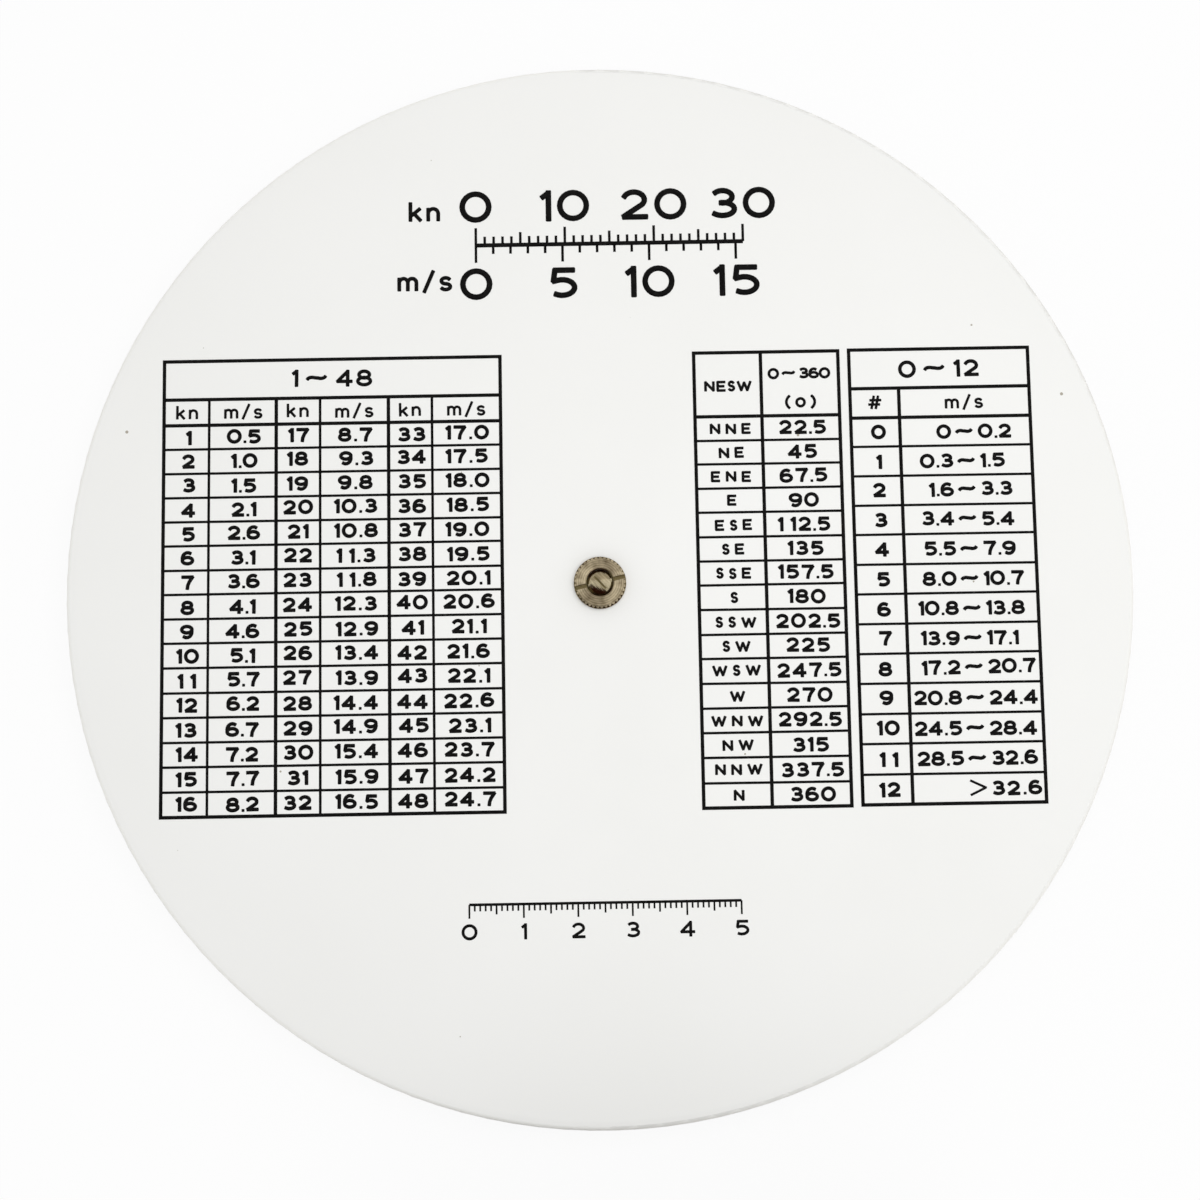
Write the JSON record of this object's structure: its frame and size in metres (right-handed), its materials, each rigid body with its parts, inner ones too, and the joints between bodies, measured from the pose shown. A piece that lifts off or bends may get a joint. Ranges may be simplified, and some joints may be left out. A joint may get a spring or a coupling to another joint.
{
  "type": "circular wind calculator",
  "caption": "Round white plastic calculator disc with printed tables, a clear turning dial and a clear cursor arm on a pivot held by a knurled, slotted ring nut.",
  "frame": {"origin": "on the pivot axis, at the flat face of the pivot screw's head, which the calculator lies on", "axes": "+Z along the pivot, out of the table side; +Y towards the top of the tables; +X to their right"},
  "size_m": [0.2, 0.2, 0.0104],
  "materials": {
    "white_pvc": "satin rigid PVC sheet",
    "clear_acrylic": "clear polished acrylic",
    "nickel_plate": "aged nickel plate on turned brass",
    "brass": "turned brass",
    "nylon": "natural nylon sheet",
    "spring_steel": "bright spring steel",
    "black_ink": "screen-printed black ink",
    "red_ink": "red ink of the hairline"
  },
  "bodies": {
    "base": {"base_disc": "white_pvc", "pivot_screw": "nickel_plate", "pivot_sleeve": "brass", "ring_nut": "nickel_plate", "dial_washer": "nylon", "cursor_washer": "nylon", "thrust_washer": "brass", "spring_washer": "spring_steel"},
    "dial": {"dial_disc": "clear_acrylic"},
    "cursor": {"cursor_arm": "clear_acrylic"}
  },
  "joints": [
    {"name": "dial_spin", "type": "hinge", "parent": "base", "child": "dial", "pos_m": [0, 0, 0.0056], "axis": [0, 0, 1], "continuous": true},
    {"name": "cursor_spin", "type": "hinge", "parent": "base", "child": "cursor", "pos_m": [0, 0, 0.0038], "axis": [0, 0, 1], "continuous": true}
  ]
}
